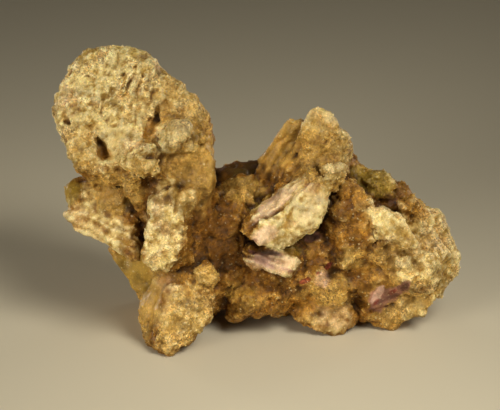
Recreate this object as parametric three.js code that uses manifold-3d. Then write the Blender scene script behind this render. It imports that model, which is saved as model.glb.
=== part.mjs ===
// A heulandite specimen: stubby druse-coated crystals grown together around a lumpy core, as one solid.
// Millimetres, +Z up. The cluster stands on its feet at z = 0 and its best side faces -Y.
import * as THREE from "three";
import { ConvexGeometry } from "three/addons/geometries/ConvexGeometry.js";
import { TessellateModifier } from "three/addons/modifiers/TessellateModifier.js";
import { ImprovedNoise } from "three/addons/math/ImprovedNoise.js";
import { mergeVertices } from "three/addons/utils/BufferGeometryUtils.js";
import Module from "manifold-3d";

const wasm = await Module();
wasm.setup();

// Driving dimensions
const SIGHT_TILT = THREE.MathUtils.degToRad(25); // the outlines are drawn looking down this steeply
const FACET_EDGE = 7.5; // longest triangle edge on a crystal face
const FLOOR_WIDTH = 160; // of the block that trims the feet flat
const FLOOR_DEPTH = 40;
const WELD = 1e-4; // points closer than this are one point
const GRAIN = [
  { size: 8, height: 1.5 }, // slow swells in the faces
  { size: 4, height: 1.1 }, // crumbly relief of the druse
];

// The two sides that outlines are drawn from.
// Across and up lie in the drawing plane, and out comes towards the eye.
const rise = Math.sin(SIGHT_TILT);
const level = Math.cos(SIGHT_TILT);
const side = {
  front: new THREE.Matrix4().makeBasis(
    new THREE.Vector3(1, 0, 0),
    new THREE.Vector3(0, rise, level),
    new THREE.Vector3(0, -level, rise),
  ),
  back: new THREE.Matrix4().makeBasis(
    new THREE.Vector3(-1, 0, 0),
    new THREE.Vector3(0, -rise, level),
    new THREE.Vector3(0, level, rise),
  ),
};

// A crystal has the outline of its free end, drawn [across, up]. reach is how far the middle of that end
// stands in front of the cluster's middle, and slope tips the end face [across, up]. length runs back to
// the root, drift moves the root [across, up], root scales it and edge is the worn bevel round the end face.
const crystals = {
  // the tall crystal at the left: broad pitted head, smooth flank and a narrow step down its right edge
  head: {
    outline: [
      [-36.4, 30], [-39.4, 37.6], [-40.8, 44.4], [-40, 47.4], [-37.4, 51.6], [-34.4, 54.2], [-30.6, 55.6],
      [-26.4, 55.6], [-22, 54.2], [-12, 45.4], [-10, 42.4], [-9.6, 38.6], [-12, 33], [-24, 29.4], [-33, 28.6],
    ],
    reach: 2, slope: [-0.08, -0.06], length: 15, drift: [3, -3], root: 0.86, edge: 1.6,
  },
  flank: {
    outline: [[-26, 28], [-23, 32], [-11, 36], [-9.8, 35], [-8.2, 25], [-7.4, 12], [-19.4, 12], [-24, 22]],
    reach: 7.3, slope: [-0.1, 0.36], length: 14, drift: [-2, 0], root: 0.95, edge: 1.2,
  },
  flankStep: {
    outline: [[-10.4, 38.6], [-9.4, 37], [-7.9, 25], [-9.8, 22]],
    reach: 5.4, slope: [-0.3, 0.4], length: 9, drift: [0, 0], root: 1, edge: 0.4,
  },
  // small crystals under the head
  leftKnob: {
    outline: [
      [-38.5, 24.4], [-38.2, 27], [-36.4, 28.8], [-33.4, 29.2], [-30.6, 26.2], [-32, 22.6], [-37, 22.6],
    ],
    reach: 4, slope: [0.1, -0.1], length: 13, drift: [4, 0], root: 0.9, edge: 1.5,
  },
  leftSlab: {
    outline: [
      [-38.6, 23], [-36.4, 19.2], [-32.6, 17.4], [-29, 14.6], [-25, 13.3], [-23.6, 15], [-25.2, 20.9],
      [-29.4, 23.4], [-33.4, 24.2],
    ],
    reach: 8.5, slope: [0.12, -0.2], length: 14, drift: [4, 1], root: 0.8, edge: 0.9,
  },
  frontSlab: {
    outline: [
      [-22.3, 13], [-21, 18.8], [-20.8, 26.2], [-17.4, 28.5], [-15, 27],
      [-14, 20], [-15.2, 12], [-17.2, 10], [-20.2, 10.2],
    ],
    reach: 12.5, slope: [-0.06, 0.1], length: 13, drift: [2, 0], root: 0.85, edge: 0.7,
  },
  frontSlabStep: {
    outline: [[-16.4, 27.4], [-12.6, 27.4], [-11.4, 25.2], [-12.6, 21.6], [-15, 17]],
    reach: 10, slope: [-0.3, 0.2], length: 10, drift: [2, 0], root: 1, edge: 0.8,
  },
  oliveSide: {
    outline: [[-30.2, 15.8], [-28.2, 10.8], [-25.4, 6], [-21.4, 3.8], [-17, 5], [-17, 16], [-25, 18]],
    reach: 4.6, slope: [0.45, 0.1], length: 14, drift: [3, 0], root: 0.9, edge: 0.5,
  },
  // the stub that stands forward as the front foot
  frontFoot: {
    outline: [
      [-18.8, 8], [-11, 9], [-8.2, 6.2], [-9.6, 2],
      [-13.8, -4.9], [-17.2, -6.8], [-20, -6.8], [-21.8, -4.2],
    ],
    reach: 14.2, slope: [-0.12, 0.2], length: 13, drift: [0, 3], root: 0.95, edge: 1.1,
  },
  frontFootSide: {
    outline: [
      [-23.6, 5], [-23.8, 1], [-22.8, -2.8], [-20, -6], [-14, -3], [-9, 6], [-13.4, 10.6], [-20.4, 11],
    ],
    reach: 12, slope: [0.3, 0.15], length: 13, drift: [2, 4], root: 0.9, edge: 1.4,
  },
  footKnob: {
    outline: [[-13.4, 11], [-10.4, 12.2], [-7.4, 9.8], [-8.4, 7.4], [-12.4, 7.8]],
    reach: 12.4, slope: [0, 0], length: 9, drift: [0, 1], root: 0.9, edge: 0.9,
  },
  // the saddle between the two tall crystals
  saddleBlock: {
    outline: [[-8, 27], [-5, 29], [-0.8, 29.2], [0.6, 26], [-1, 19], [-8, 18]],
    reach: 0.4, slope: [0, 0.25], length: 13, drift: [0, 0], root: 1, edge: 1.3,
  },
  // the leaning crystal with plated sides and a pale broken front
  ridge: {
    outline: [
      [0, 34], [4.6, 39.9], [6.8, 41.3], [8.8, 41], [14, 40],
      [18.2, 36], [18, 28], [15, 20], [1, 17.5], [-3, 24],
    ],
    reach: -0.6, slope: [0.28, 0.34], length: 12, drift: [2, -3], root: 0.92, edge: 0.8,
  },
  ridgePlate: {
    outline: [
      [9.8, 42.6], [11, 44.2], [12.6, 44.6], [14.4, 43.2], [16.8, 38.8], [17.8, 34.2], [17, 28], [11, 25],
      [4, 27],
    ],
    reach: 1, slope: [0.16, 0.36], length: 12, drift: [1, -3], root: 0.95, edge: 0.7,
  },
  paleFace: {
    outline: [
      [-1.2, 17.6], [1, 20.6], [8.6, 27], [12.6, 28.4], [14.6, 26.8],
      [14, 22.4], [11.8, 19.6], [5, 15.3], [1, 15.8],
    ],
    reach: 11, slope: [-0.15, 0.1], length: 12, drift: [1, 2], root: 0.9, edge: 0.6,
  },
  paleShoulder: {
    outline: [[-3, 18], [-2.4, 21], [7.2, 28.9], [10.4, 30.7], [13.2, 29], [14, 26], [8, 19], [-1, 16.6]],
    reach: 8.8, slope: [-0.05, -0.1], length: 13, drift: [2, 2], root: 1, edge: 0.8,
  },
  ridgeCrust: {
    outline: [[13.4, 31.6], [16.8, 32.2], [17.2, 29], [15.2, 26.4], [13.2, 28]],
    reach: 6.8, slope: [-0.2, 0.3], length: 8, drift: [0, 0], root: 1, edge: 0.7,
  },
  pinkLens: {
    outline: [
      [-2.9, 13.1], [-1.6, 14.8], [3, 14.8], [7.4, 14.2], [8.7, 12], [7, 9.5], [2.2, 11], [-1, 11.6],
    ],
    reach: 9.8, slope: [-0.05, 0.2], length: 9, drift: [0, 1], root: 1, edge: 0.9,
  },
  // the right-hand mass: a slab, stepped ridges behind it, the end point and the lower lobes
  rightSlab: {
    outline: [
      [22, 23.2], [24, 23.9], [28.2, 21.8], [31.2, 19.2],
      [32.6, 16.4], [31, 14.8], [25.6, 15.4], [22.4, 19.6],
    ],
    reach: 8, slope: [-0.1, 0.05], length: 10, drift: [-1, 0], root: 0.95, edge: 0.6,
  },
  amberRidge: {
    outline: [[17.4, 28.4], [19.4, 29.6], [21.4, 27.2], [22.6, 23.6], [22.4, 20.8], [20, 20.4], [18, 24.6]],
    reach: 5.2, slope: [-0.1, 0.3], length: 9, drift: [0, -2], root: 1, edge: 0.8,
  },
  shoulder: {
    outline: [[18.4, 32.4], [21, 30.4], [28.4, 28], [33.4, 24.6], [36.4, 20], [32, 13], [20, 14], [16, 26]],
    reach: 0, slope: [-0.15, 0.15], length: 13, drift: [-3, -1], root: 0.95, edge: 1.2,
  },
  shoulderTop: {
    outline: [[21.4, 29.2], [23.8, 30.9], [26.4, 30.3], [28.8, 28.2], [27.6, 25.4], [22.6, 26]],
    reach: 0.4, slope: [-0.2, 0.3], length: 11, drift: [-2, -2], root: 1, edge: 0.7,
  },
  shoulderStep: {
    outline: [[29, 24.8], [31.6, 25], [34.4, 23.4], [36.2, 20.4], [34, 17], [30, 19]],
    reach: 4, slope: [-0.25, 0.2], length: 10, drift: [-2, -1], root: 1, edge: 0.9,
  },
  endPoint: {
    outline: [
      [32, 19], [34, 23.8], [37.4, 22.6], [39.8, 17.8], [41.2, 13.4],
      [40.6, 11.2], [36.8, 4.6], [31, 5], [30, 12],
    ],
    reach: 2.4, slope: [-0.35, 0.2], length: 13, drift: [-4, 0], root: 0.85, edge: 1.3,
  },
  rightLobe: {
    outline: [
      [20.2, 5], [21, 0.8], [23.8, -0.7], [27.6, -1.5], [33.2, 2.2],
      [38, 6.6], [36.6, 10], [33.6, 12.6], [24, 12.4],
    ],
    reach: 4.4, slope: [-0.1, 0.35], length: 13, drift: [-2, 2], root: 0.9, edge: 1.7,
  },
  purpleLens: {
    outline: [[21.6, 2.4], [21.7, 5], [24.2, 7.6], [27.6, 9], [30.2, 7.2], [28.2, 4], [25, 2.4]],
    reach: 6.4, slope: [0, 0.35], length: 7, drift: [0, 0], root: 1, edge: 0.8,
  },
  lowerLobe: {
    outline: [[27.6, 4.6], [31.6, 6.6], [36, 5.2], [33.2, 2], [29.6, -0.2], [28, 2]],
    reach: 5.6, slope: [-0.1, 0.3], length: 8, drift: [-1, 1], root: 1, edge: 0.8,
  },
  middleFoot: {
    outline: [
      [7.2, 1.2], [10.4, -0.5], [12, -2], [15, -2.8], [18.4, -1.6],
      [20, 0.8], [19, 3.8], [15.6, 5.8], [10, 5],
    ],
    reach: 6.6, slope: [0, 0.4], length: 10, drift: [0, 3], root: 1, edge: 1.3,
  },
  // crystals on the far side, drawn from behind
  backHead: {
    from: "back",
    outline: [[16, 16], [33, 18], [36, 27], [33, 40], [23, 44], [14, 34]],
    reach: 10.5, slope: [0.1, -0.35], length: 14, drift: [-1, -3], root: 1.05, edge: 1.3,
  },
  backPlate: {
    from: "back",
    outline: [[20, 22], [30, 21], [34, 29], [30, 38], [22, 36], [18, 29]],
    reach: 13, slope: [-0.1, -0.1], length: 9, drift: [0, 0], root: 1.05, edge: 0.8,
  },
  backStub: {
    from: "back",
    outline: [[-3, 6], [8, 5], [12, 12], [10, 20], [3, 24], [-4, 19]],
    reach: 16, slope: [0.1, -0.25], length: 16, drift: [-2, 0], root: 0.95, edge: 1.1,
  },
  backWedge: {
    from: "back",
    outline: [[-2, 2], [5, -1], [10, 3], [9, 9], [1, 10]],
    reach: 17.4, slope: [-0.3, 0.1], length: 10, drift: [-1, 2], root: 1.1, edge: 0.7,
  },
  backBlade: {
    from: "back",
    outline: [[-20, 9], [-9, 8], [-6, 17], [-9, 29], [-15, 33], [-20, 24]],
    reach: 12.5, slope: [-0.2, -0.3], length: 14, drift: [3, 0], root: 0.95, edge: 1,
  },
  backSlab: {
    from: "back",
    outline: [[-24, 12], [-16, 5], [-12, 9], [-15, 17], [-22, 21]],
    reach: 14.6, slope: [0.15, -0.2], length: 9, drift: [1, 0], root: 1.05, edge: 0.7,
  },
  backEnd: {
    from: "back",
    outline: [[-35, 3], [-25, 2], [-22, 9], [-25, 18], [-33, 19], [-38, 11]],
    reach: 9.5, slope: [0.2, -0.2], length: 14, drift: [3, 1], root: 0.95, edge: 1.2,
  },
  backFoot: {
    from: "back",
    outline: [[12, -7], [22, -7], [26, 1], [23, 10], [14, 12], [9, 3]],
    reach: 11, slope: [0, 0.3], length: 10, drift: [-3, 3], root: 1, edge: 1.2,
  },
  backToe: {
    from: "back",
    outline: [[-20, -7], [-8, -8], [-4, 0], [-8, 9], [-18, 9], [-23, 1]],
    reach: 11.5, slope: [0, 0.3], length: 10, drift: [2, 3], root: 1, edge: 1.3,
  },
};

// Rounded masses: middle drawn [across, up], reach in front of the cluster's middle,
// and half sizes [across, up, out].
const lumps = {
  coreLeft: { middle: [-13, 14], reach: -2, size: [12, 13, 11] },
  coreMiddle: { middle: [6, 14], reach: -3.5, size: [18, 12, 11] },
  coreRight: { middle: [25, 13], reach: -3.5, size: [13, 11, 10] },
  recessWall: { middle: [-27.4, 24], reach: 0.8, size: [8, 8.5, 6.5] },
  farHump: { middle: [-1, 26.6], reach: -12, size: [9.5, 6, 7] },
  headKnob: { middle: [-16, 36.6], reach: 4.8, size: [3.8, 3.2, 3] },
  headKnobLow: { middle: [-19.4, 34], reach: 5.4, size: [2.8, 2, 2.4] },
  headLobe: { middle: [-24, 30.4], reach: 6.6, size: [3.2, 3.2, 3.2] },
  flankKnob: { middle: [-12.8, 36.4], reach: 3.4, size: [2.6, 3.2, 3] },
  druseMiddle: { middle: [-6, 17], reach: 1.6, size: [6.4, 10, 5.6] },
  druseLow: { middle: [-4.4, 12], reach: 3.6, size: [4.2, 4.4, 3.8] },
  druseRight: { middle: [18.6, 20], reach: 1.2, size: [6, 9, 5.6] },
  smallBump: { middle: [17, 22.6], reach: 4.6, size: [2.2, 1.8, 2.4] },
  rightMass: { middle: [31, 13.4], reach: 1.6, size: [8, 8.6, 6] },
  slabBed: { middle: [26.6, 14], reach: 4.4, size: [5, 4, 3.6] },
  lowLeft: { middle: [-2.4, 5.4], reach: 4.4, size: [5, 4.4, 5] },
  lowLeftTip: { middle: [-4, 2.2], reach: 5.2, size: [2.8, 2, 3] },
  lowMiddle: { middle: [3.6, 6.4], reach: 4.2, size: [4.8, 3.8, 4.6] },
  pinkBump: { middle: [11.4, 9.6], reach: 5.8, size: [3.4, 3.2, 4] },
  pinkBumpLow: { middle: [14.8, 6.6], reach: 5.6, size: [3.8, 3.8, 4] },
  tanBump: { middle: [18.6, 12.8], reach: 6.4, size: [2.2, 2.4, 2.4] },
  backKnobHigh: { from: "back", middle: [13, 24], reach: 11, size: [4, 4.4, 4] },
  backKnobLeft: { from: "back", middle: [27, 14], reach: 8, size: [4.4, 4, 4] },
  backKnobLow: { from: "back", middle: [1, 0], reach: 9, size: [6, 5, 5] },
  backKnobRight: { from: "back", middle: [-27, 20], reach: 6, size: [4, 4, 4.4] },
  backKnobEnd: { from: "back", middle: [-29, 1], reach: 8, size: [4.6, 3.6, 4] },
};

// Holes worn into the head: place and half sizes drawn [across, up], depth, and the slit's turn in degrees.
const headPits = [
  { middle: [-25.4, 47.4], size: [0.5, 1.8], depth: 2, turn: -26 },
  { middle: [-30.8, 42.2], size: [0.45, 1.2], depth: 1.4, turn: -6 },
  { middle: [-20, 41.2], size: [0.5, 2.7], depth: 2.2, turn: -17 },
  { middle: [-31.2, 34.4], size: [1.1, 2.6], depth: 1.7, turn: 24 },
  { middle: [-37.2, 40.2], size: [0.8, 0.8], depth: 0.9, turn: 0 },
];

// Out distance of the point drawn at that height, when it stands reach in front of the cluster's middle.
function outAt(up, reach) {
  return (up * rise + reach) / level;
}

function middleOf(outline) {
  const points = outline.map(([across, up]) => new THREE.Vector2(across, up));
  const box = new THREE.Box2().setFromPoints(points);
  return box.getCenter(new THREE.Vector2());
}

// Out distance of a crystal's end face at a drawn point.
function endFaceOut({ outline, reach, slope }, across, up) {
  const middle = middleOf(outline);
  return outAt(middle.y, reach) + slope[0] * (across - middle.x) + slope[1] * (up - middle.y);
}

// A convex crystal: worn end face, the full outline just behind it, and the root.
function crystalGeometry(crystal) {
  const { outline, length, drift, root, edge } = crystal;
  const middle = middleOf(outline);
  const points = [];
  for (const [across, up] of outline) {
    const spoke = new THREE.Vector2(across, up).sub(middle);
    const worn = spoke.clone().setLength(Math.max(spoke.length() - edge, 0)).add(middle);
    const rooted = spoke.clone().multiplyScalar(root).add(middle);
    points.push(
      new THREE.Vector3(worn.x, worn.y, endFaceOut(crystal, worn.x, worn.y)),
      new THREE.Vector3(across, up, endFaceOut(crystal, across, up) - edge),
      new THREE.Vector3(rooted.x + drift[0], rooted.y + drift[1], endFaceOut(crystal, across, up) - length),
    );
  }
  const splits = 14;
  return new TessellateModifier(FACET_EDGE, splits).modify(new ConvexGeometry(points));
}

// A rounded lump with as many faces as its size needs.
function lumpGeometry({ middle, reach, size }) {
  const detail = Math.max(Math.round((2 * Math.max(...size)) / FACET_EDGE), 1);
  return new THREE.IcosahedronGeometry(1, detail)
    .scale(...size)
    .translate(middle[0], middle[1], outAt(middle[1], reach));
}

function pitGeometry({ middle, size, depth, turn }) {
  const detail = 1;
  return new THREE.IcosahedronGeometry(1, detail)
    .scale(size[0], size[1], depth)
    .rotateZ(THREE.MathUtils.degToRad(turn))
    .translate(middle[0], middle[1], endFaceOut(crystals.head, ...middle));
}

function toSolid(geometry) {
  const bare = geometry.clone();
  bare.deleteAttribute("normal");
  bare.deleteAttribute("uv");
  const merged = mergeVertices(bare, WELD);
  return new wasm.Manifold(
    new wasm.Mesh({
      numProp: 3,
      vertProperties: new Float32Array(merged.attributes.position.array),
      triVerts: new Uint32Array(merged.index.array),
    }),
  );
}

function toGeometry(solid) {
  const mesh = solid.getMesh();
  return new THREE.BufferGeometry()
    .setAttribute("position", new THREE.BufferAttribute(new Float32Array(mesh.vertProperties), 3))
    .setIndex(new THREE.BufferAttribute(new Uint32Array(mesh.triVerts), 1));
}

// Shifts every point by smooth noise, so that the faces swell and crumble without opening.
function roughen(geometry) {
  const noise = new ImprovedNoise();
  const positions = geometry.attributes.position;
  const point = new THREE.Vector3();
  const seeds = [3.7, 19.1, 41.3]; // one noise field for each axis
  for (let i = 0; i < positions.count; i++) {
    point.fromBufferAttribute(positions, i);
    const shift = new THREE.Vector3();
    for (const { size, height } of GRAIN) {
      const [dx, dy, dz] = seeds.map((seed) =>
        height * noise.noise(point.x / size + seed, point.y / size + seed, point.z / size + seed));
      shift.add(new THREE.Vector3(dx, dy, dz));
    }
    point.add(shift);
    positions.setXYZ(i, point.x, point.y, point.z);
  }
  return geometry;
}

const grown = [
  ...Object.values(crystals).map((crystal) =>
    toSolid(crystalGeometry(crystal).applyMatrix4(side[crystal.from ?? "front"]))),
  ...Object.values(lumps).map((lump) =>
    toSolid(lumpGeometry(lump).applyMatrix4(side[lump.from ?? "front"]))),
].reduce((whole, piece) => whole.add(piece));

const pitted = headPits.reduce(
  (whole, pit) => whole.subtract(toSolid(pitGeometry(pit).applyMatrix4(side.front))),
  grown,
);

// The feet are trimmed flat at the floor, and the origin goes under the middle of the cluster.
const floorBlock = new THREE.BoxGeometry(FLOOR_WIDTH, FLOOR_WIDTH, FLOOR_DEPTH)
  .translate(0, 0, -FLOOR_DEPTH / 2);
const cluster = toGeometry(toSolid(roughen(toGeometry(pitted))).subtract(toSolid(floorBlock)));
cluster.computeBoundingBox();
const centre = cluster.boundingBox.getCenter(new THREE.Vector3());
cluster.translate(-centre.x, -centre.y, -cluster.boundingBox.min.z);

const heulandite = new THREE.MeshStandardMaterial({ color: 0xb08a4a, roughness: 0.75, metalness: 0 });
const clusterMesh = new THREE.Mesh(cluster, heulandite);
clusterMesh.name = "heulandite_cluster";

const specimen = new THREE.Group();
specimen.add(clusterMesh);

export default specimen;
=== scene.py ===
import math

import bpy
import numpy as np
from mathutils import Matrix, Vector, noise
from mathutils.bvhtree import BVHTree


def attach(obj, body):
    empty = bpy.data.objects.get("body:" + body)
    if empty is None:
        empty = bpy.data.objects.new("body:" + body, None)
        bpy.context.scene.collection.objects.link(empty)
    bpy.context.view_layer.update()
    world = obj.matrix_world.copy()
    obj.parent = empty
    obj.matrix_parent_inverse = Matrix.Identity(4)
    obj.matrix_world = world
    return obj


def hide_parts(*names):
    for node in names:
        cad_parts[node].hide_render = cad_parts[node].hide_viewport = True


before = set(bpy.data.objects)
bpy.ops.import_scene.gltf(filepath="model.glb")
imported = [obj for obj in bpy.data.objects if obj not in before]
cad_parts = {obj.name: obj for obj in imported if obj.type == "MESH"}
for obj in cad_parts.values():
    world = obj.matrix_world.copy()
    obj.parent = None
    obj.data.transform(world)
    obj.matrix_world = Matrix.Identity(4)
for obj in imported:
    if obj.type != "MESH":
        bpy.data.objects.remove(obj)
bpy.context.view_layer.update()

mm = 0.001

sight = {
    "tilt": 25.0,              # degrees that the view looks down
    "origin": (0.0, -2.6),     # mm, floor point that is drawn at 0, 0
    "middle": (-1.4, 23.8),    # mm, drawn point at the image centre
    "plane": 15.0,             # mm in front of the origin, where the scale is right
    "distance": 800.0,         # mm from that plane to the lens
    "frameWidth": 100.0,       # mm across the image
    "sensor": 36.0,            # mm
    "clip": (0.01, 20.0),      # m
}
rise = math.sin(math.radians(sight["tilt"]))
level = math.cos(math.radians(sight["tilt"]))


def smoothStep(low, high, values):
    t = np.clip((values - low) / (high - low), 0.0, 1.0)
    return t * t * (3.0 - 2.0 * t)


def drawnFrom(side, coords):     # across, up and out in mm, as seen from the front or the back
    turn = 1.0 if side == "front" else -1.0
    x = (coords[:, 0] - sight["origin"][0]) * turn
    y = (coords[:, 1] - sight["origin"][1]) * turn
    z = coords[:, 2]
    return np.stack([x, y * rise + z * level, z * rise - y * level], axis=1)


def newObject(name, mesh):
    thing = bpy.data.objects.new(name, mesh)
    bpy.context.scene.collection.objects.link(thing)
    return thing


def withModifiers(mesh, modifiers):      # a new mesh with these modifiers applied
    thing = newObject("working", mesh)
    for kind, settings in modifiers:
        modifier = thing.modifiers.new(kind.lower(), kind)
        for key, value in settings.items():
            setattr(modifier, key, value)
    graph = bpy.context.evaluated_depsgraph_get()
    result = bpy.data.meshes.new_from_object(thing.evaluated_get(graph))
    bpy.data.objects.remove(thing)
    return result


def coordsOf(mesh):      # mm
    flat = np.empty(len(mesh.vertices) * 3)
    mesh.vertices.foreach_get("co", flat)
    return flat.reshape(-1, 3) / mm


def setCoords(mesh, coords):
    mesh.vertices.foreach_set("co", (coords * mm).ravel())
    mesh.update()


def normalsOf(mesh):
    flat = np.empty(len(mesh.vertices) * 3)
    mesh.vertex_normals.foreach_get("vector", flat)
    return flat.reshape(-1, 3)


def smoothing(passes):      # a modifier for withModifiers
    return "SMOOTH", {"factor": 0.5, "iterations": passes}


def smoothed(mesh, passes):      # mm, where the points would be
    return coordsOf(withModifiers(mesh.copy(), [smoothing(passes)]))


def fractalField(coords, size, offset, octaves, dimension=1.0, lacunarity=2.0):
    return np.array([noise.fractal(p, dimension, lacunarity, octaves) for p in coords / size + offset])


def domeField(coords, size, offset, steepness=1.6):      # rounded knobs, 1 on top and 0 in the seams
    nearest = np.array([noise.voronoi(p)[0][0] for p in coords / size + offset])
    return np.clip(1.0 - steepness * nearest * nearest, 0.0, 1.0)


def facetField(coords, size, offset, spread=7.3):      # flat patches, each tilted its own way
    field = np.empty(len(coords))
    for i, point in enumerate(coords / size + offset):
        centre = noise.voronoi(point)[1][0]
        field[i] = (Vector(point) - centre).dot(noise.noise_vector(centre * spread))
    return field


# Spots on the cluster, in mm as drawn from that side: across, up, half width, half height, turn, strength
paleSpots = {
    "front": [
        (-30, 47, 12.5, 10, 0, 0.85),        # head
        (-28, 37, 10, 7.5, 0, 0.7),
        (-27.2, 37.8, 5.6, 4, 0, 1.05),
        (-33.0, 45.6, 3.0, 2.4, 0, 1.15),
        (-19.4, 51.4, 3.4, 2.6, -40, 0.9),
        (-29, 54.4, 9, 2.4, 0, 0.7),
        (-38.4, 39.6, 3, 8, 0, 0.6),
        (-16.6, 45.4, 7, 4.4, -42, 0.7),
        (-16.8, 37.2, 4.6, 4.0, 0, 1.25),    # knobs on the head
        (-23.6, 31, 4, 3, 0, 0.3),
        (-28, 26.8, 4, 3.2, 0, 0.35),        # recess and small crystals under it, paler also as painted highlight
        (-33.4, 25.2, 2.2, 2.6, 0, 0.6),
        (-31, 19.2, 9.4, 4, -29, 0.62),
        (-18.4, 19.2, 4, 10, -5, 0.85),
        (-13.8, 24, 2.4, 4, 0, 0.45),
        (-14.6, 1.0, 5.4, 8.0, -30, 0.48),   # front foot
        (-10.2, 9.6, 3.2, 2.2, 0, 0.35),
        (-20.8, 7.4, 0.9, 2.0, -8, 0.7),     # painted highlights: bright streaks on its shoulder
        (-16.6, 7.6, 1.3, 0.9, 0, 0.8),
        (12.6, 41.6, 4.6, 4.6, 0, 0.7),      # leaning crystal
        (17, 36, 2.6, 7, 14, 0.5),
        (14.8, 30.4, 3.0, 3.2, 0, 0.75),
        (10, 23.2, 5.6, 4.6, 38, 1.5),       # its broken front
        (3.4, 19.4, 4.6, 2.8, 38, 1.15),
        (3.6, 24.6, 7, 1.8, 40, 0.9),
        (6.4, 16.8, 6.5, 2.4, 22, 1.1),
        (3, 12.4, 6, 2.4, -8, 0.75),
        (26.8, 19.4, 7.0, 4.2, -36, 0.9),    # right-hand mass
        (36.4, 16, 5.6, 9, 0, 1.1),
        (39.8, 13, 2.8, 4, 0, 1.1),
        (33, 7, 5, 5, 0, 0.4),
        (37, 6.8, 3.4, 3.6, 30, 0.8),
        (31, 12.6, 4.6, 5.0, 0, 0.8),
        (24, 29.4, 4.4, 2.4, -30, 0.4),
        (30, 3.4, 5, 3.2, 0, 0.5),
        (18.6, 12.8, 2.2, 2.4, 0, 0.3),
        (15, 0.6, 4.8, 3, 0, 0.4),
    ],
    "back": [
        (26, 31, 9, 9.5, 0, 1.1),
        (25, 41, 10, 5, 0, 0.7),
        (4, 15, 6.5, 8.5, 0, 0.9),
        (5, 5, 5, 4.5, 0, 0.6),
        (-13, 24, 6, 10, 0, 1.0),
        (-18, 13, 5.5, 6.5, 30, 1.1),
        (-30, 11, 6.5, 7.5, 0, 0.8),
        (17, 3, 7, 7, 0, 0.7),
        (-13, 0, 8, 6, 0, 0.4),
    ],
}
goldSpots = {
    "front": [
        (-13.4, 31, 6, 10, 0, 0.85),         # flank and right edge of the tall crystal
        (-14.6, 43, 6, 9, 20, 0.9),
        (-34.6, 35.6, 4, 6, 0, 0.8),         # golden patches on the head
        (-16.4, 36.8, 5, 4.4, 0, 0.3),
        (-24, 31, 5, 3.4, 0, 0.9),
        (-23.6, 43, 4, 5, -20, 0.45),
        (-28, 26.6, 6, 5, 0, 1.4),           # recess under it: golden, and painted lighter against its shade
        (-24, 7, 7, 11, 0, 1.0),             # front foot and the smooth face behind it
        (-10, 9.6, 3.6, 2.8, 0, 1.0),
        (-14.6, 1.0, 5, 8, -30, 0.8),
        (9, 37, 9, 9, 0, 0.9),               # leaning crystal
        (3.4, 35.4, 3.6, 7, -32, 1.2),
        (13, 31, 6, 6, 0, 0.8),
        (-3, 27, 5.4, 2.6, 0, 0.9),
        (19, 12.6, 3, 3, 0, 0.9),
        (30, 13, 8, 9, 0, 0.7),              # right-hand mass
        (36, 17, 7, 11, 0, 0.6),
        (30, 3, 8, 5, 0, 0.7),
        (-4, 4.4, 7, 4, 0, 0.25),
        (14, 5, 6, 6, 0, 0.8),
        (22, 25, 3, 4, 0, 0.4),
    ],
    "back": [
        (25, 40, 13, 9, 0, 0.9), (-13, 24, 8, 9, 0, 0.8), (2, 16, 9, 9, 0, 0.6), (-30, 12, 9, 9, 0, 0.8),
    ],
}
roseSpots = {
    "front": [
        (1.8, 18.0, 3.4, 2.2, 35, 0.75),     # pink end of the broken front
        (3.4, 24.0, 7.4, 1.5, 40, 0.7),
        (3, 12.2, 6.2, 2.6, -8, 0.7),        # pink lens
        (10.6, 22.6, 3.4, 2.0, 38, 0.4),
        (13.4, 9.0, 2.2, 2.2, 0, 0.7),
        (24.4, 5.8, 2.4, 0.8, 55, 1.2),      # painted highlight on the purple crystal
        (15.4, 1.4, 4.8, 3.2, 0, 0.45),
        (15.6, 31.2, 2.4, 2, 0, 0.35),
        (-19.6, 22.6, 1.8, 5, 0, 0.4),
        (-18, 8, 3.4, 2, 0, 0.4),
        (-25, 36, 5, 4, 0, 0.3),
    ],
    "back": [(5, 4, 3.4, 2.6, 20, 0.7), (-29, 8, 3, 2.4, 0, 0.6), (-17, 14, 4, 2.4, 40, 0.6)],
}
mauveSpots = {
    "front": [
        (2.4, 24.4, 7.0, 0.6, 40, 0.55),     # torn plates along the broken front
        (3.8, 22.8, 6.0, 0.4, 42, 0.5),
        (11, 27.4, 2.4, 1.2, 10, 0.5),
        (0.6, 13.6, 4.4, 0.8, -24, 0.9),
        (1.4, 12.0, 3.6, 0.6, -24, 0.9),
        (5.0, 11.2, 3.0, 0.6, -16, 0.8),
        (25.4, 4.8, 3.6, 2.2, 38, 1.0),      # purple crystal
        (28.8, 6.8, 2.4, 1.4, 25, 0.9),
        # purple tint on the right-hand shoulder ridges, partly a painted sheen
        (27.6, 24.6, 4, 1.2, -42, 0.4),
        (-38, 44, 2.6, 4, 0, 0.45),
        (11.4, 17.4, 2.0, 1.4, 0, 0.6),
    ],
    "back": [(-24, 20, 5, 1.6, 30, 0.5)],
}
# dark places: painted shade on the far hump and in clefts, and the real dark druse and flecks
shadeAndDarkSpots = {
    "front": [
        (-1, 31, 9, 3.0, 0, 0.8),            # painted shade: the far hump behind the saddle, dark as in shadow
        (2.2, 14.4, 2.6, 0.6, -14, 0.75),    # painted shade in the cleft over the pink lens
        (-2.0, 16.4, 1.2, 1.0, 0, 0.8),
        (11.2, 17.4, 1.5, 1.2, 0, 0.75),
        (29.4, 7.2, 1.4, 0.8, 25, 0.8),
        (26.4, 5.0, 3.2, 0.5, 22, 0.65),
        (23, 2.6, 1.2, 0.9, 0, 0.5),
        (-9, 20, 5, 7, 0, 0.3),              # brown druse in the middle
        (-8, 14, 5, 5, 0, 0.35),
        (24, 28, 5, 1.6, -42, 0.25),
        (-16, 26.6, 1.2, 4, -35, 0.5),
        (8, 34, 1.0, 3, 0, 0.4),
        (12, 36.4, 2.2, 0.8, 0, 0.4),
    ],
    "back": [(-9, 9, 2.4, 1.2, 20, 0.7), (12, 20, 4, 3, 0, 0.4)],
}
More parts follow.
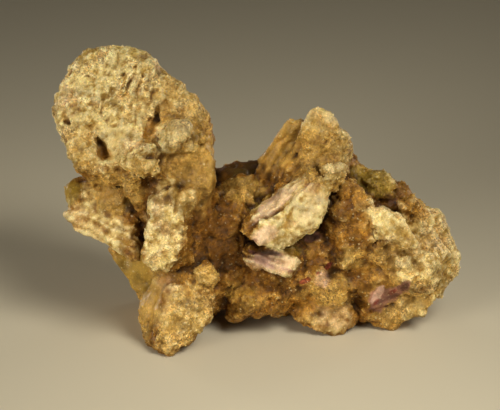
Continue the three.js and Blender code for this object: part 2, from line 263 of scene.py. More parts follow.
rubySpots = {       # dark red flecks
    "front": [
        (14.3, 11.5, 1.0, 0.6, 50, 1.0),     # between the pink lens and the foot
        (9.4, 8.4, 1.5, 0.6, 22, 1.0),
        (12.2, 10.2, 0.6, 0.5, 0, 0.8),
        (24.0, 4.2, 1.2, 0.5, 50, 0.7),      # on the purple crystal
        (27.4, 6.4, 1.4, 0.5, 30, 0.7),
        (-0.8, 16.6, 0.9, 0.6, 20, 0.6),
    ],
    "back": [(-28, 9, 1.2, 0.6, 20, 0.9), (6, 3.4, 1.0, 0.6, -20, 0.8)],
}
oliveSpots = {
    "front": [
        (-25, 10.6, 5, 6, 0, 0.7),           # smooth face behind the front foot
        (-37, 26.6, 2.6, 3.2, 0, 0.8),
        (23.6, 29, 5.6, 3.4, -30, 0.9),
        (-2.6, 5, 5, 4, 0, 0.4),
        (31, 2.6, 5, 2.6, 0, 0.5),
        (6.2, 21.4, 0.9, 2.4, -20, 0.7),     # grainy notch in the broken front
        (-16.4, 24.4, 0.9, 4.2, -8, 0.5),    # joint in the front slab
        (8, 14.6, 3, 1.4, 0, 0.6),
        (-17, 41, 2, 2, 0, 0.5),
        (17.6, 40, 1.6, 4, 14, 0.4),
    ],
    "back": [(24, 22, 10, 5, 0, 0.5), (0, 24, 8, 4, 0, 0.6)],
}
honeySpots = {      # clear amber places
    "front": [
        (-21.6, 37.8, 1.8, 3.6, -15, 0.8),   # valley in the head
        (-18.4, 43.2, 1.3, 2.6, -20, 0.6),
        (-30.2, 33.6, 1.8, 2.2, 20, 0.9),
        (-28, 26, 4, 3, 0, 0.6),             # recess under it
        (-16.6, 9.4, 4.4, 1.5, 0, 0.7),      # over the front foot
        (2.6, 33, 2, 6, -30, 0.5),           # leaning crystal
        (6, 30, 5, 2.4, 40, 0.6),
        (20.4, 25.6, 1.6, 3.4, 25, 0.9),     # right-hand mass
        (21.6, 20.2, 1.5, 3.2, 10, 1.0),
        (33, 22.4, 1.8, 2.2, -30, 0.8),
        (24.4, 11, 3, 2.6, -10, 0.6),
        (9.6, 3.8, 3.2, 2.4, 0, 0.7),
    ],
    "back": [
        (-20, 26, 3, 5, 20, 0.7), (14, 28, 4, 4, 0, 0.7), (2, 8, 5, 3, 0, 0.6), (28, 16, 5, 3, 0, 0.6),
    ],
}
smoothSpots = {
    "front": [
        (-25, 10.6, 5, 5.5, 0, 1.0),
        (-37, 26.6, 2.4, 3, 0, 0.8),
        (-27.4, 37.4, 5, 3.6, 0, 0.55),      # pale middle and knob of the head
        (-16.6, 37.2, 3.6, 3.0, 0, 0.2),
        (-13, 29, 5, 6, 0, 0.6),             # flank of the tall crystal
        (-8.4, 31, 1.8, 8, 8, 0.9),
        (12.4, 41.4, 4.6, 4, 0, 0.55),       # tip of the leaning crystal
        (-20.4, 5, 4, 6, 0, 0.9),            # left side of the front foot
        (3.6, 36, 5, 8, -32, 0.85),
        (9.6, 22.6, 6, 4.6, 38, 1.0),        # broken front of the leaning crystal
        (3.4, 18.6, 5, 3, 34, 1.0),
        (3.4, 24.4, 7.4, 1.8, 40, 0.8),
        (3, 12.2, 5.6, 2.2, -8, 0.85),
        (-1, 31, 9, 3, 0, 0.8),              # far hump
        (25.4, 5, 3.6, 2.4, 38, 0.8),        # purple crystal
        (15.4, 0.8, 4.8, 3, 0, 0.6),         # foot beside it
        (-31, 19.2, 9, 4, -29, 0.75),        # slabs
        (27.8, 19.2, 7, 4, -36, 0.4),
        (-18.4, 19.2, 4, 9, -5, 0.3),
    ],
    "back": [(25, 42, 12, 6, 0, 0.5), (-13, 22, 6, 10, 0, 0.4)],
}
hollows = [      # side, across, up, half width, half height, turn, depth in mm, darkness of the painted shade in it
    ("front", -25.4, 47.8, 0.5, 1.8, -26, 0.8, 0.8),     # slits in the worn head
    ("front", -30.8, 42.6, 0.4, 1.6, -6, 0.3, 0.4),
    ("front", -20.0, 41.4, 0.5, 2.8, -17, 0.6, 0.6),
    ("front", -31.0, 34.8, 1.2, 3.0, 24, 0.8, 0.4),
    ("front", -37.6, 40.2, 0.8, 0.7, 0, 0.7, 0.3),
    ("front", -33.6, 49.4, 0.5, 0.4, 0, 0.7, 0.7),
    ("front", -26.5, 49.7, 0.4, 0.6, -20, 0.7, 0.6),
    ("front", -24.2, 51.2, 0.5, 0.8, -20, 0.6, 0.5),
    ("front", -22.6, 49.3, 0.4, 0.5, 0, 0.6, 0.5),
    ("front", -28.4, 39.6, 0.9, 0.5, 0, 0.4, 0.3),
    ("front", -23.6, 45.4, 0.5, 3.4, -10, 0.5, 0.15),
    ("front", -16.6, 41.4, 2.2, 1.2, -25, 1.0, 0.35),
    ("front", -21.6, 38.0, 1.1, 2.8, -20, 0.7, 0.2),
    ("front", -26.2, 34.0, 0.6, 2.4, 10, 0.4, 0.1),
    ("front", -32.6, 39.0, 2.0, 0.6, -15, 0.5, 0.1),
    ("front", -21.4, 33.2, 2.2, 0.5, -16, 0.8, 0.45),
    ("front", -9.4, 30.0, 0.35, 5.0, 6, 0.5, 0.4),       # edge of the tall crystal
    ("front", -16.0, 24.0, 0.5, 3.2, -12, 0.5, 0.3),     # joint in the front slab
    ("front", 11.9, 37.2, 1.0, 0.6, -20, 0.6, 0.5),      # pits in the leaning crystal
    ("front", 14.1, 36.2, 0.9, 0.6, 20, 0.6, 0.5),
    ("front", 10.4, 35.8, 0.7, 0.5, 0, 0.5, 0.4),
    ("front", 7.8, 33.6, 0.9, 0.5, 30, 0.5, 0.35),
    ("front", 4.9, 30.4, 0.8, 1.0, 0, 0.5, 0.35),
    ("front", 13.0, 33.4, 0.8, 0.5, 15, 0.4, 0.3),
    ("front", 2.2, 14.5, 2.8, 0.5, -14, 0.6, 0.45),      # cleft over the pink lens
    ("front", 6.4, 21.4, 0.6, 2.4, -20, 0.7, 0.2),       # notch in the broken front
    ("front", 4.6, 25.6, 5.6, 0.4, 40, 0.5, 0.3),
    ("front", 11.2, 17.4, 1.4, 1.0, 0, 0.6, 0.5),
    ("front", 19.4, 28.4, 1.2, 0.9, -30, 0.6, 0.4),
    ("front", 22.8, 14.6, 1.6, 0.6, -30, 0.6, 0.4),
    ("back", 27.0, 33.0, 1.3, 2.0, 15, 0.9, 0.4),        # worn places on the far side
    ("back", 30.4, 36.0, 0.8, 0.6, 0, 0.7, 0.35),
    ("back", 23.6, 37.4, 0.6, 1.0, 30, 0.6, 0.35),
    ("back", 21.0, 27.0, 1.0, 1.6, -20, 0.8, 0.3),
    ("back", 29.0, 27.6, 0.7, 0.6, 0, 0.6, 0.3),
    ("back", -12.0, 26.0, 0.8, 2.2, 10, 0.8, 0.3),
    ("back", -10.0, 31.0, 0.6, 0.6, 0, 0.6, 0.3),
    ("back", -17.0, 12.0, 0.9, 1.6, 30, 0.7, 0.3),
    ("back", 4.0, 17.0, 0.9, 1.8, 0, 0.7, 0.3),
]
bumps = [        # side, across, up, half width, half height, turn, height in mm
    ("front", -16.4, 37.2, 3.4, 2.8, 20, 0.9),           # knobs on the head
    ("front", -15.0, 37.8, 2.4, 2.2, 0, 0.8),
    ("front", -18.9, 38.4, 1.8, 1.8, 0, 0.6),
    ("front", -19.4, 35.4, 1.8, 1.2, 20, 0.6),
    ("front", -10.8, 37.0, 1.8, 1.4, 0, 0.9),
    ("front", -13.0, 34.6, 1.8, 2.0, 0, 0.7),
    ("front", -20.6, 34.8, 2.6, 1.5, -10, 0.6),
    ("front", -23.8, 31.2, 4.2, 3.0, 0, 1.1),
    ("front", -19.4, 45.4, 1.5, 2.8, -25, 0.8),
    ("front", -16.4, 44.0, 3.0, 0.9, -35, 0.7),
    ("front", -35.2, 34.4, 2.6, 3.2, 0, 0.8),
    ("front", -33.4, 45.4, 2.6, 2.0, 0, 0.6),
    ("front", -30.0, 52.0, 4.0, 2.0, 8, 0.6),
    ("front", -28.4, 26.4, 3.6, 3.4, 0, 1.3),            # floor of the recess under it
    ("front", 12.4, 41.0, 4.2, 3.4, -20, 0.5),           # tip of the leaning crystal
    ("front", 10.6, 22.4, 4.4, 3.2, 38, 0.6),            # lobes of its broken front
    ("front", 3.2, 19.0, 3.8, 2.2, 38, 0.6),
    ("front", 6.4, 12.4, 2.0, 1.6, 0, 0.5),              # pink lens
    ("front", 12.8, 9.6, 1.6, 1.5, 0, 0.8),
    ("front", 14.8, 7.2, 1.7, 1.4, 0, 0.7),
    ("front", 33.6, 12.4, 3.0, 2.6, 0, 0.8),             # right-hand mass
    ("front", 29.6, 12.0, 2.4, 2.8, 0, 0.7),
    ("front", 21.4, 22.6, 1.5, 4.2, 28, 0.7),
    ("front", 23.8, 17.0, 2.0, 1.6, -30, 1.2),
    ("front", 16.0, 25.6, 1.6, 2.6, 15, 1.0),
]
softSpots = {    # where the cut edges are worn round
    "front": [
        (20.2, 25.4, 3, 4.4, 20, 0.5),       # right-hand mass
        (-19, 4, 2.2, 8, 0, 0.8),            # front foot
        (-16.4, 36.4, 4.4, 3.8, 0, 0.75),    # knob on the head
        (-18, 49.6, 7, 3.4, -40, 1.0),       # right edge of the head
        (-10.6, 37.2, 2.6, 2.4, 0, 0.9),
    ],
    "back": [(-20, 30, 5, 5, 0, 0.5)],
}
plates = [       # side, across, up, half width, half height, turn, spacing and height in mm
    ("front", -31, 19.2, 10, 4.6, -29, 1.9, 0.5),        # small slab on the left
    ("front", 4, 24.4, 9, 2.2, 40, 1.5, 0.45),           # torn plates of the leaning crystal
    ("front", 4, 35.6, 11, 7, 56, 2.0, 0.8),             # its left side
    ("front", 27.8, 19.2, 8, 4.6, -36, 2.2, 0.3),        # slab on the right
    ("front", 26, 26, 8, 4, -45, 1.9, 0.5),
    ("front", -18.2, 19.2, 10, 4.4, 86, 2.2, 0.25),      # front slab
    ("front", -9.6, 33, 10, 2.8, 97, 1.7, 0.5),          # edge of the tall crystal
    ("front", 2, 12.2, 6.2, 2.4, -20, 1.4, 0.8),
    ("front", -24.4, 45, 7, 4, 72, 1.6, 0.35),           # flutes in the head
    ("back", 25, 40, 10, 8, 30, 2.4, 0.5),               # far side
    ("back", -13, 22, 10, 6, 75, 2.2, 0.5),
    ("back", -18, 13, 7, 5, -40, 1.8, 0.5),
    ("back", 4, 15, 9, 6, 80, 2.2, 0.45),
    ("back", -30, 11, 7, 7, 50, 2.2, 0.45),
]


spotting = {
    "nearest": 12,             # points that find the surface under a spot
    "depth": (0.7, 1.5),       # how deep it reaches: share of its half sizes, and mm more
    "facing": (-0.6, -0.1),    # where it fades on faces that turn away
    "edge": (1.25, 0.6),       # its rim, from none to full
    "ragged": 0.3,             # how far noise breaks the rim
    "torn": 0.5,               # the same for the streaky colours
}


# mm along and over the spot, distance in half sizes, and how much a point faces that side
def spotShape(coords, normals, side, across, up, wide, tall, turn):
    seen = drawnFrom(side, coords)
    offset = seen - np.array([across, up, 0.0])
    near = np.argsort(np.hypot(offset[:, 0], offset[:, 1]))[:spotting["nearest"]]
    share, more = spotting["depth"]
    depth = (seen[:, 2] - seen[near, 2].max()) / (share * (wide + tall) + more)
    c, s = math.cos(math.radians(turn)), math.sin(math.radians(turn))
    along = offset[:, 0] * c + offset[:, 1] * s
    over = offset[:, 1] * c - offset[:, 0] * s
    distance = np.sqrt((along / wide) ** 2 + (over / tall) ** 2 + depth ** 2)
    outward = normals @ np.array([0.0, -level, rise] if side == "front" else [0.0, level, rise])
    return along, over, distance, smoothStep(*spotting["facing"], outward)


def spotMask(coords, normals, spots, breakup, ragged=spotting["ragged"]):
    mask = np.zeros(len(coords))
    for side, rows in spots.items():
        for *shape, strength in rows:
            distance, facing = spotShape(coords, normals, side, *shape)[2:]
            edge = smoothStep(*spotting["edge"], distance + ragged * breakup)
            mask = np.maximum(mask, strength * facing * edge)
    return mask


crust = {
    "voxel": 0.45,                    # mm, size of the mesh's squares
    "rounding": 4,                    # smoothing passes over the cut facets
    "wearing": 80,                    # the same, where the edges are worn round
    "breakup": (2.6, 5.0, 3),         # size in mm, noise offset and octaves of the ragged rims
    "swell": (5.0, 0.75, 11.0, 4),    # size and height in mm, noise offset and octaves
    "crumble": (1.0, 0.34, 27.0, 3),
    "lumps": (3.4, 0.4, 43.0, 2),     # on the pale ends
    "pits": (1.7, 0.3, 61.0, 2),
    "pitRim": (0.35, 0.7),            # noise levels at a pit's rim and floor
    "knobs": (2.2, 0.38, 3.0),        # size and height in mm, noise offset
    "facets": (2.0, 0.8, 19.0),
    "calmed": 0.85,                   # how much of all that smooth places lose
    "paleBlocky": 0.6,                # how much of the knobs and facets pale ends lose
    "paleCrumbly": 0.3,               # the same for the crumble
    "plateWave": (0.12, 0.7),         # how far plates wave, and how fast along them
    "plateEdge": (1.1, 0.7),
    "hollowEdge": (1.2, 0.35),
    "bumpRagged": 0.6,
    "bumpRound": 0.8,                 # under 1 gives a fuller dome
    "ridges": (30, 1.2),              # smoothing passes, and mm from hollow to ridge
    "nicks": (4, 0.3),
    "rays": 12,                       # cast from each point to see how open it is
    "rayReach": 10.0,                 # mm
    "rayCap": 0.95,                   # share of the half sphere that they cover
    "rayStart": 0.15,                 # mm off the surface
    "seed": 7,                        # for the facets' tilts, 0 would take the clock
}


def openness(mesh, coords, normals):      # 1 in the open, 0 deep in a cleft
    rays, reach = crust["rays"], crust["rayReach"]
    corners = [p.vertices[:] for p in mesh.polygons]
    tree = BVHTree.FromPolygons([Vector(c) for c in coords], corners)
    golden = math.pi * (3.0 - math.sqrt(5.0))
    height = 1.0 - (np.arange(rays) + 0.5) / rays * crust["rayCap"]
    ring = np.sqrt(1.0 - height ** 2)
    angle = golden * np.arange(rays)
    cap = np.stack([ring * np.cos(angle), ring * np.sin(angle), height], axis=1)
    free = np.zeros(len(coords))
    for i, (point, normal) in enumerate(zip(coords, normals)):
        axis = Vector(normal)
        turn = np.array(axis.to_track_quat("Z", "Y").to_matrix())
        start = Vector(point) + axis * crust["rayStart"]
        hits = [tree.ray_cast(start, Vector(way), reach)[3] for way in cap @ turn.T]
        free[i] = sum(1.0 if hit is None else hit / reach for hit in hits) / rays
    return free


def ridgeMask(mesh, coords, normals, passes, span):      # 0 in hollows, 1 on ridges
    height = ((coords - smoothed(mesh, passes)) * normals).sum(axis=1)
    return np.clip(0.5 + height / span, 0.0, 1.0)


def setMask(mesh, name, values):
    layer = mesh.attributes.new(name, "FLOAT", "POINT")
    layer.data.foreach_set("value", np.asarray(values, dtype=np.float32))


def druseRelief(coords, pale, smooth):      # mm
    rough = 1.0 - crust["calmed"] * smooth
    blocky = 1.0 - crust["paleBlocky"] * pale
    crumbly = 1.0 - crust["paleCrumbly"] * pale
    size, height, *seed = crust["swell"]
    lift = height * fractalField(coords, size, *seed)
    size, height, offset = crust["knobs"]
    lift += height * (domeField(coords, size, offset) - 0.5) * rough * blocky
    size, height, offset = crust["facets"]
    lift += height * facetField(coords, size, offset) * rough * blocky
    size, height, *seed = crust["crumble"]
    lift += height * fractalField(coords, size, *seed) * rough * crumbly
    size, height, *seed = crust["lumps"]
    lift += height * fractalField(coords, size, *seed) * pale * rough
    size, height, *seed = crust["pits"]
    lift -= height * smoothStep(*crust["pitRim"], fractalField(coords, size, *seed)) * pale * rough
    return lift


def addDrawnRelief(lift, coords, normals, breakup):      # adds to lift, and gives how dark the hollows are painted, as shade
    ragged = spotting["ragged"]
    swing, beat = crust["plateWave"]
    for *shape, spacing, height in plates:
        along, over, distance, facing = spotShape(coords, normals, *shape)
        step = over / spacing + ragged * breakup + swing * np.sin(along * beat)
        ridge = 1.0 - np.abs(2.0 * (step - np.floor(step)) - 1.0)
        lift += height * (ridge - 0.5) * facing * smoothStep(*crust["plateEdge"], distance)
    hollow = np.zeros(len(coords))
    for *shape, depth, darkness in hollows:
        distance, facing = spotShape(coords, normals, *shape)[2:]
        dip = smoothStep(*crust["hollowEdge"], distance + ragged * breakup) * facing
        lift -= depth * dip
        hollow = np.maximum(hollow, dip * darkness)
    for *shape, height in bumps:
        distance, facing = spotShape(coords, normals, *shape)[2:]
        dome = np.clip(1.0 - (distance + crust["bumpRagged"] * breakup) ** 2, 0.0, 1.0)
        lift += height * dome ** crust["bumpRound"] * facing
    return hollow


def makeCrust():
    noise.seed_set(crust["seed"])
    mesh = withModifiers(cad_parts["heulandite_cluster"].data.copy(), [
        ("REMESH", {"mode": "VOXEL", "voxel_size": crust["voxel"] * mm}),
        smoothing(crust["rounding"]),
    ])
    coords, normals = coordsOf(mesh), normalsOf(mesh)
    print("crust:", len(coords), "points after remeshing")

    breakup = fractalField(coords, *crust["breakup"])
    worn = smoothed(mesh, crust["wearing"])
    coords += (worn - coords) * spotMask(coords, normals, softSpots, breakup)[:, None]
    smooth = spotMask(coords, normals, smoothSpots, breakup)
    pale = spotMask(coords, normals, paleSpots, breakup)
    lift = druseRelief(coords, pale, smooth)
    hollow = addDrawnRelief(lift, coords, normals, breakup)
    coords = coords + normals * lift[:, None]
    coords[:, 2] = np.maximum(coords[:, 2], 0.0)      # feet stay on the floor
    setCoords(mesh, coords)
    normals = normalsOf(mesh)
    print("crust: relief from", round(lift.min(), 2), "to", round(lift.max(), 2), "mm")

    setMask(mesh, "pale", pale)
    for name, spots in (("rose", roseSpots), ("olive", oliveSpots), ("gold", goldSpots)):
        setMask(mesh, name, spotMask(coords, normals, spots, breakup))
    streaky = (("mauve", mauveSpots), ("shadeAndDark", shadeAndDarkSpots), ("ruby", rubySpots), ("honey", honeySpots))
    for name, spots in streaky:
        setMask(mesh, name, spotMask(coords, normals, spots, breakup, spotting["torn"]))
    setMask(mesh, "hollow", hollow)
    setMask(mesh, "smooth", smooth)
    # high on ridges, low in creases: paler worn ridges, and painted shade in the creases
    setMask(mesh, "ridgeWearAndShade", ridgeMask(mesh, coords, normals, *crust["ridges"]))
    setMask(mesh, "nick", ridgeMask(mesh, coords, normals, *crust["nicks"]))
    setMask(mesh, "grain", np.zeros(len(coords)))
    free = openness(mesh, coords, normals)
    setMask(mesh, "open", free)
    print("crust: openness", free.min().round(2), "to", free.max().round(2))
    mesh.polygons.foreach_set("use_smooth", np.ones(len(mesh.polygons), dtype=bool))
    return newObject("crystalCrust", mesh)


grains = {
    "count": 20000,
    "size": (0.13, 0.32),      # mm, half length before the points
    "slim": (0.6, 1.0),        # half width, as a share of that
    "point": 1.2,              # how far the points stand out, as a share of it
    "lean": 0.55,              # how far grains tip off the surface
    "sink": 0.35,              # how deep they sit, as a share of the half length
    "onSmooth": 0.9,           # share that smooth places lose
    "inClefts": 0.35,          # share that deep clefts keep
    "onPale": (1.2, 0.8),      # share off the pale ends, and how much of it they lose
    "clearance": 0.8,          # mm above the floor
    "tint": (0.3, 1.0),        # from dull to bright
    "seed": 7,
}


def makeGrains(host):      # tiny druse crystals, stuck on with their points out
    mesh = host.data
    coords, normals = coordsOf(mesh), normalsOf(mesh)
    names = [a.name for a in mesh.attributes if a.data_type == "FLOAT" and a.domain == "POINT"]
    masks = {}
    for name in names:
        values = np.empty(len(coords), dtype=np.float32)
        mesh.attributes[name].data.foreach_get("value", values)
        masks[name] = values
    rng = np.random.default_rng(grains["seed"])
    most, loss = grains["onPale"]
    chance = (1.0 - grains["onSmooth"] * masks["smooth"]) * (grains["inClefts"] + masks["open"])
    chance = chance * (most - loss * np.minimum(masks["pale"], 1.0))
    chance *= (coords[:, 2] > grains["clearance"]) * (1.0 - masks["hollow"])
    hosts = rng.choice(len(coords), grains["count"], replace=False, p=chance / chance.sum())

    point = grains["point"]
    rim = [(1, 0, 0), (0, 1, 0), (-1, 0, 0), (0, -1, 0)]
    shape = np.array(rim + [(0, 0, point), (0, 0, -point)], dtype=float)
    around = [(i, (i + 1) % 4) for i in range(4)]
    sides = np.array([(a, b, 4) for a, b in around] + [(b, a, 5) for a, b in around])
    points, faces = [], []
    for i, at in enumerate(hosts):
        lean = Vector(normals[at] + rng.normal(0, grains["lean"], 3)).normalized()
        spin = Matrix.Rotation(rng.uniform(0, math.pi), 3, "Z")
        turn = np.array(lean.to_track_quat("Z", "Y").to_matrix() @ spin)
        length = np.interp(rng.uniform() ** 2, (0, 1), grains["size"])
        size = length * np.array([rng.uniform(*grains["slim"]), rng.uniform(*grains["slim"]), 1.0])
        points.append(coords[at] - normals[at] * size[2] * grains["sink"] + (shape * size) @ turn.T)
        faces.append(sides + len(shape) * i)
    grainMesh = bpy.data.meshes.new("druseGrains")
    grainMesh.from_pydata((np.concatenate(points) * mm).tolist(), [], np.concatenate(faces).tolist())
    masks["grain"][hosts] = rng.uniform(*grains["tint"], grains["count"])
    for name in names:
        setMask(grainMesh, name, np.repeat(masks[name][hosts], len(shape)))
    print("grains:", len(grainMesh.polygons), "facets")
    return newObject("druseGrains", grainMesh)


class Wire:      # one socket of a material, with maths
    def __init__(self, shade, socket):
        self.shade, self.socket = shade, socket

    def maths(self, operation, first, second):
        return self.shade.add("ShaderNodeMath", {"operation": operation}, {0: first, 1: second})

    def __add__(self, other):
        return self.maths("ADD", self, other)

    def __sub__(self, other):
        return self.maths("SUBTRACT", self, other)

    def __mul__(self, other):
        return self.maths("MULTIPLY", self, other)

    def __rsub__(self, other):
        return self.maths("SUBTRACT", other, self)

    __radd__ = __add__
    __rmul__ = __mul__


class Shade:      # a material's node tree
    def __init__(self, name):
        self.material = bpy.data.materials.new(name)
        self.material.use_nodes = True
        self.tree = self.material.node_tree
        self.tree.nodes.clear()

    def add(self, kind, settings=None, values=None, output=0):
        node = self.tree.nodes.new(kind)
        for key, value in (settings or {}).items():
            setattr(node, key, value)
        for key, value in (values or {}).items():
            socket = node.inputs[key]
            if isinstance(value, Wire):
                self.tree.links.new(value.socket, socket)
            else:
                socket.default_value = value
        return Wire(self, node.outputs[output]) if node.outputs else None

    def mask(self, name):
        return self.add("ShaderNodeAttribute", {"attribute_name": name}, output="Fac")

    def mix(self, factor, first, second, blend="MIX"):
        settings = {"data_type": "RGBA", "blend_type": blend}
        return self.add("ShaderNodeMix", settings, {0: factor, 6: paint(first), 7: paint(second)}, 2)

    def ramp(self, value, low, high):
        settings = {"interpolation_type": "SMOOTHSTEP", "clamp": True}
        return self.add("ShaderNodeMapRange", settings, {"Value": value, "From Min": low, "From Max": high})

    def cover(self, under, tint, amount, low, high, strength=None):      # tint laid over a colour
        factor = self.ramp(amount, low, high)
        return self.mix(factor if strength is None else factor * strength, under, tint)

    def brighten(self, colour, gain):      # keeps the hue
        return self.mix(1.0, colour, 1 + gain, "MULTIPLY")

    def vector(self, operation, first, second=None):
        values = {0: first}
        if second is not None:
            values["Scale" if operation == "SCALE" else 1] = second
        return self.add("ShaderNodeVectorMath", {"operation": operation}, values)

    def channel(self, colour, name):
        return self.add("ShaderNodeSeparateColor", {}, {"Color": colour}, name)

    def grainy(self, place, size, detail, output=0):      # noise with features of that size in mm
        values = {"Vector": place, "Scale": 1 / (size * mm), "Detail": detail}
        return self.add("ShaderNodeTexNoise", {}, values, output)

    def cells(self, place, size):      # a random colour for each cell of that size in mm
        values = {"Vector": place, "Scale": 1 / (size * mm)}
        return self.add("ShaderNodeTexVoronoi", {}, values, "Color")


def paint(colour):
    return colour if isinstance(colour, Wire) else (*colour, 1.0)


finish = {
    "deep": (0.045, 0.019, 0.003),       # dark brown: painted shade in the clefts and hollows, and the dark specks of the grain
    "brown": (0.16, 0.062, 0.005),
    "amber": (0.27, 0.128, 0.016),
    "gold": (0.42, 0.245, 0.052),
    "honey": (0.36, 0.17, 0.022),
    "tan": (0.41, 0.255, 0.060),
    "cream": (0.62, 0.465, 0.172),
    "white": (0.78, 0.655, 0.34),
    "blush": (0.53, 0.32, 0.13),
    "olive": (0.33, 0.208, 0.026),
    "rose": (0.65, 0.41, 0.285),
    "mauve": (0.27, 0.118, 0.088),
    "ruby": (0.16, 0.022, 0.010),
    "cloud": (7.0, 3.0),                 # size in mm and detail of the noises
    "drift": (4.3, 2.0),
    "crumb": (1.5, 5.0),
    "sand": (0.45, 3.0),
    "stain": (3.1, 3.0),
    "bend": (1.1, 2.0),
    "bendReach": 1.2,                    # mm that it bends the chips' edges
    "cells": 0.3,                        # mm, finest druse
    "chips": 0.95,                       # mm, coarser grains
    "glint": 0.5,                        # how far the finest facets turn
    "chipped": 0.7,                      # the same for the coarser grains
    "bump": (0.7, 0.3),                  # strength, and depth in mm
    "ior": 1.5,
    "shine": 0.24,
    "glow": 0.2,                         # share of light that goes under the surface
    "glowSpread": (1.0, 0.55, 0.2),      # how far red, green and blue go, as shares of the depth
    "glowDepth": 1.4,                    # mm
}


def makeFinish():
    s = Shade("heulandite")
    place = s.add("ShaderNodeTexCoord", output="Object")
    pale, gold, rose, mauve, shadeAndDark, olive = (
        s.mask(name) for name in ("pale", "gold", "rose", "mauve", "shadeAndDark", "olive"))
    smooth, ridgeWearAndShade, nick, free = (s.mask(name) for name in ("smooth", "ridgeWearAndShade", "nick", "open"))
    honey, ruby, hollow, grain = (s.mask(name) for name in ("honey", "ruby", "hollow", "grain"))

    cloud, drift, crumb, sand, stain = (
        s.grainy(place, *finish[name]) for name in ("cloud", "drift", "crumb", "sand", "stain"))
    clouds, crumbs, ridges = cloud - 0.5, crumb - 0.5, ridgeWearAndShade - 0.5      # each about 0
    cells = s.cells(place, finish["cells"])
    bend = s.vector("SCALE", s.grainy(place, *finish["bend"], "Color"), finish["bendReach"] * mm)
    chips = s.cells(s.vector("ADD", place, bend), finish["chips"])

    # brown druse, with painted shade: it darkens to deep brown where clefts and creases close it in
    lit = s.ramp(free + 0.4 * ridges + 0.5 * clouds - shadeAndDark * 0.4, 0.15, 0.8)
    druse = s.mix(lit, finish["deep"], finish["brown"])
    druse = s.cover(druse, finish["amber"], lit + 0.9 * crumbs + 0.8 * ridges - shadeAndDark, 0.65, 1.4)
    golden = gold * (0.3 + 0.7 * free) + 0.6 * crumbs + 0.4 * ridges - shadeAndDark
    druse = s.cover(druse, finish["gold"], golden, 0.0, 0.9)
    druse = s.cover(druse, finish["olive"], olive + 0.4 * crumbs, 0.2, 0.9, 0.8)

    # pale worn ends
    cap = s.cover(finish["tan"], finish["cream"], cloud + 0.9 * crumbs + 0.35 * ridges, 0.36, 0.62)
    cap = s.cover(cap, finish["blush"], drift, 0.48, 0.7, 0.6)
    cap = s.cover(cap, finish["gold"], gold + 0.9 * crumbs, 0.2, 1.0, 0.6)
    cap = s.cover(cap, finish["olive"], stain - 0.2 * gold - 0.15 * smooth, 0.52, 0.68, 0.5)
    chalky = nick + 0.6 * crumbs
    cap = s.cover(cap, finish["white"], chalky + pale * 0.2, 0.62, 0.95, 0.5 - gold * 0.25)
    cap = s.cover(cap, finish["amber"], chalky, 0.44, 0.08, 0.5)
    # painted shade: the pale ends fade in the clefts and creases
    capMask = s.ramp(pale * (0.45 + 0.55 * free) + 0.6 * crumbs + 0.5 * ridges - shadeAndDark, 0.05, 0.85)
    colour = s.mix(capMask, druse, cap)

    # coloured places, dark places, and painted shade in the hollows
    colour = s.cover(colour, finish["honey"], honey + 0.6 * crumbs, 0.2, 1.0, 0.8)
    colour = s.cover(colour, finish["mauve"], mauve + 0.7 * crumbs, 0.2, 0.9, 0.75)
    colour = s.cover(colour, finish["rose"], rose + 0.6 * crumbs, 0.2, 1.0, 0.65)
    # painted shade on the far hump and in the clefts, and the real dark places
    colour = s.cover(colour, finish["deep"], shadeAndDark + 0.3 * crumbs, 0.4, 1.0, 0.85)
    colour = s.cover(colour, finish["ruby"], ruby + 0.4 * crumbs, 0.25, 0.8, 0.85)
    # painted shade: deep brown laid into the dug hollows
    colour = s.cover(colour, finish["deep"], hollow, 0.1, 0.95, 0.9)

    # mottling, grain and painted glints
    mottle = s.ramp(stain + 0.6 * clouds + 0.35 * crumbs, 0.2, 0.7)
    colour = s.brighten(colour, 0.6 * (mottle - 0.5) * (1 - shadeAndDark))
    colour = s.cover(colour, finish["deep"], sand + 0.3 * crumbs, 0.45, 0.28, 0.35 - smooth * 0.2)
    bright = s.ramp(sand, 0.55, 0.75) * 0.45 + s.ramp(grain, 0.4, 1.0) * 0.5
    colour = s.brighten(colour, bright * (1 - shadeAndDark))
    # painted glints: rare cells turned white in the colour
    paintedGlint = s.ramp(s.channel(cells, "Red"), 0.982, 0.986) * free * (1 - hollow) * (1 - shadeAndDark)
    sugar = s.ramp(drift + 0.5 * crumbs, 0.4, 0.65) * (1 - smooth * 0.7)
    calm = (1 - shadeAndDark) * (1 - smooth * 0.75) * free
    tone, chipTone = s.channel(cells, "Green") - 0.45, s.channel(chips, "Green") - 0.45
    colour = s.brighten(colour, tone * (0.35 + 0.9 * sugar) * calm)
    colour = s.brighten(colour, chipTone * (0.55 - 0.25 * capMask) * calm)
    colour = s.mix(paintedGlint * 0.45, colour, finish["white"])

    # facets that catch the light
    middle = (0.5, 0.5, 0.5)
    strength = (1 - smooth * 0.7) * (1 - grain) * (sugar * 0.6 + 0.4) * finish["glint"]
    turn = s.vector("SCALE", s.vector("SUBTRACT", cells, middle), strength)
    strength = (1 - smooth * 0.8) * finish["chipped"]
    tilt = s.vector("SCALE", s.vector("SUBTRACT", chips, middle), strength)
    normal = s.add("ShaderNodeNewGeometry", output="Normal")
    normal = s.vector("NORMALIZE", s.vector("ADD", normal, s.vector("ADD", turn, tilt)))
    strength, depth = finish["bump"]
    normal = s.add("ShaderNodeBump", {}, {
        "Strength": strength, "Distance": depth * mm, "Height": crumb * 0.5 + sand * 0.5, "Normal": normal,
    })

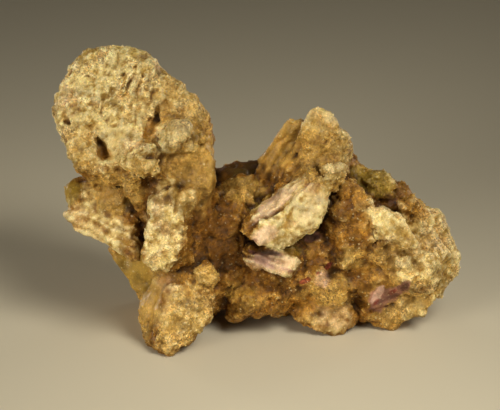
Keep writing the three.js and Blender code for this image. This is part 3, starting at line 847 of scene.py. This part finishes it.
    rough = s.ramp(sand + 0.4 * crumbs, 0.25, 0.75) * 0.3 + 0.42
    rough = rough - smooth * 0.15 - paintedGlint * 0.2 + shadeAndDark * 0.25
    shader = s.add("ShaderNodeBsdfPrincipled", {}, {
        "Base Color": colour, "Roughness": rough, "Normal": normal,
        "IOR": finish["ior"], "Specular IOR Level": finish["shine"],
        "Subsurface Weight": finish["glow"], "Subsurface Radius": finish["glowSpread"],
        "Subsurface Scale": finish["glowDepth"] * mm,
    })
    s.add("ShaderNodeOutputMaterial", {}, {"Surface": shader})
    print("finish:", len(s.tree.nodes), "nodes")
    return s.material


stage = {
    "floorSize": 3.0,          # m
    "floorColour": (0.59, 0.52, 0.365),
    "floorRoughness": 0.8,
    "world": (0.95, 0.90, 0.80),
    "worldStrength": 0.056,
}
lamps = {      # m, watts and degrees
    "key": {
        "place": (0.16, -0.23, 0.28), "aim": (0.02, -0.08, 0.0),
        "size": 0.20, "power": 0.165, "spread": 49, "colour": (1.0, 0.975, 0.92),
    },
    "fill": {
        "place": (-0.27, -0.30, 0.13), "aim": (0.0, -0.03, 0.02),
        "size": 0.22, "power": 0.10, "spread": 44, "colour": (1.0, 0.96, 0.89),
    },
    "rearLeft": {
        "place": (-0.40, 0.40, 0.09), "aim": (0.0, 0.0, 0.03),
        "size": 0.30, "power": 0.09, "spread": 26, "colour": (1.0, 0.96, 0.90),
    },
    "rearRight": {
        "place": (0.44, 0.36, 0.09), "aim": (0.0, 0.0, 0.03),
        "size": 0.30, "power": 0.09, "spread": 26, "colour": (1.0, 0.96, 0.90),
    },
}


def makeFloor():
    half = stage["floorSize"] / 2
    mesh = bpy.data.meshes.new("floor")
    corners = [(-half, -half, 0), (half, -half, 0), (half, half, 0), (-half, half, 0)]
    mesh.from_pydata(corners, [], [(0, 1, 2, 3)])
    s = Shade("paleFloor")
    shader = s.add("ShaderNodeBsdfPrincipled", {}, {
        "Base Color": paint(stage["floorColour"]), "Roughness": stage["floorRoughness"],
    })
    s.add("ShaderNodeOutputMaterial", {}, {"Surface": shader})
    mesh.materials.append(s.material)
    newObject("floor", mesh)


def addLamp(name, lamp):
    light = bpy.data.lights.new(name, "AREA")
    light.size, light.energy, light.color = lamp["size"], lamp["power"], lamp["colour"]
    light.spread = math.radians(lamp["spread"])
    stand = newObject(name, light)
    stand.location = lamp["place"]
    stand.rotation_euler = (Vector(lamp["aim"]) - stand.location).to_track_quat("-Z", "Y").to_euler()


def makeStudio():
    makeFloor()
    for name, lamp in lamps.items():
        addLamp(name, lamp)
    world = bpy.data.worlds.new("studio")
    world.use_nodes = True
    back = world.node_tree.nodes["Background"]
    back.inputs["Color"].default_value = paint(stage["world"])
    back.inputs["Strength"].default_value = stage["worldStrength"]
    bpy.context.scene.world = world
    bpy.context.scene.view_settings.view_transform = "Standard"

    across, up = sight["middle"]
    x, y = sight["origin"]
    towards = Vector((0, -level, rise))
    aim = Vector((x + across, y + up * rise, up * level)) + towards * sight["plane"]
    camera = bpy.data.cameras.new("photoView")
    camera.sensor_width = sight["sensor"]
    camera.lens = camera.sensor_width * sight["distance"] / sight["frameWidth"]
    camera.clip_start, camera.clip_end = sight["clip"]
    eye = newObject("photoView", camera)
    eye.location = (aim + towards * sight["distance"]) * mm
    eye.rotation_euler = towards.to_track_quat("Z", "Y").to_euler()
    bpy.context.scene.camera = eye
    print("studio: lens", round(camera.lens), "mm")


material = makeFinish()
crustPiece = makeCrust()
grainPiece = makeGrains(crustPiece)
for piece in (crustPiece, grainPiece):
    piece.data.materials.clear()
    piece.data.materials.append(material)
    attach(piece, "root")
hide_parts("heulandite_cluster")
makeStudio()
